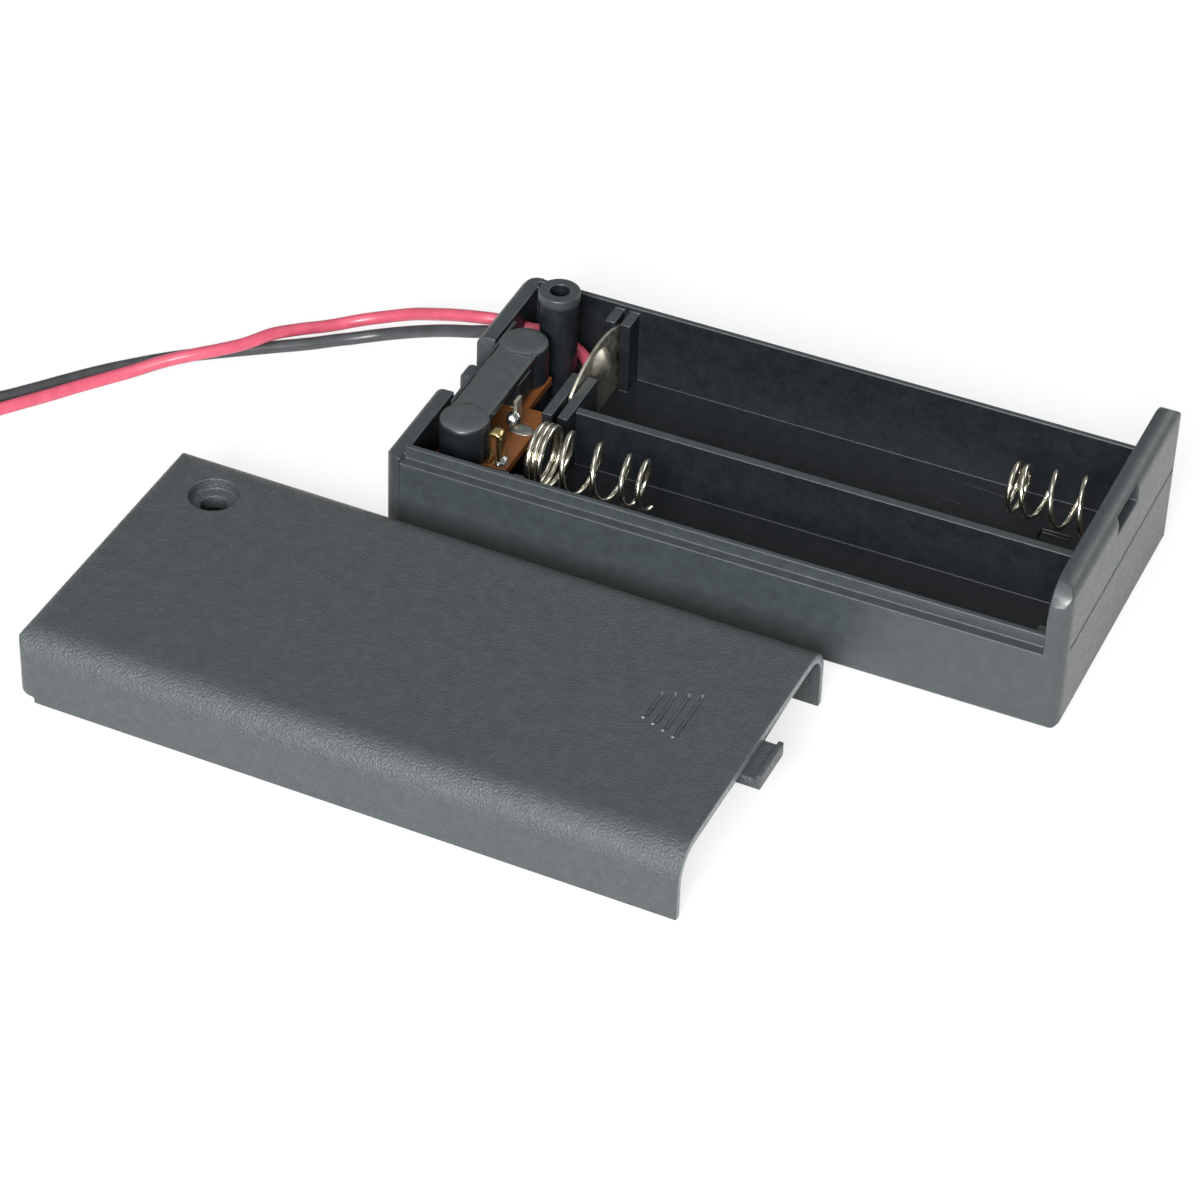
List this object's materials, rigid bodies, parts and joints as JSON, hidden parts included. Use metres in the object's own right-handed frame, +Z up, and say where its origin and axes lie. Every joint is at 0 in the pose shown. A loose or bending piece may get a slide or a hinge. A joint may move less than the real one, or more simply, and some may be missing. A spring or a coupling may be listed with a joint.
{
  "type": "battery holder",
  "caption": "Flat two-cell battery box for small cylindrical cells, with a slide switch, two leads and a hook-and-screw cover lying beside it.",
  "frame": {"origin": "centre of the tray's flat underside", "axes": "+X along the tray towards the tall end wall, +Y towards the lead that comes from the positive plate, +Z up out of the tray's open side"},
  "size_m": [0.1294, 0.0654, 0.0148],
  "materials": {
    "black_abs": "moulded, semi-matt",
    "black_abs_textured": "spark-textured",
    "brass": "bright",
    "phenolic": "paper phenolic, sawn edges",
    "tinned_steel": "tinned",
    "spring_steel": "nickel plated wire",
    "solder": "flowed solder",
    "red_pvc": "soft PVC insulation",
    "black_pvc": "soft PVC insulation",
    "tie_plastic": "nylon",
    "tinned_copper": "tinned strands"
  },
  "bodies": {
    "root": {"tray": "black_abs", "cover": "black_abs_textured", "switch_retainer": "black_abs", "terminal_board": "phenolic", "terminal_front": "tinned_steel", "terminal_middle": "tinned_steel", "front_spring": "spring_steel", "rear_spring": "spring_steel", "plus_plate": "tinned_steel", "link_plate": "tinned_steel", "solder_front": "solder", "solder_middle": "solder", "solder_plate": "solder", "red_inner_lead": "red_pvc", "black_inner_lead": "black_pvc", "red_lead": "red_pvc", "black_lead": "black_pvc", "red_coil": "red_pvc", "black_coil": "black_pvc", "red_tie": "tie_plastic", "black_tie": "tie_plastic", "red_end": "tinned_copper", "black_end": "tinned_copper"},
    "slider": {"switch_slider": "black_abs", "contact_bridge": "brass"}
  },
  "joints": [
    {"name": "switch_slide", "type": "slide", "parent": "root", "child": "slider", "axis": [0, 1, 0], "range_m": [-0.005, 0]}
  ]
}
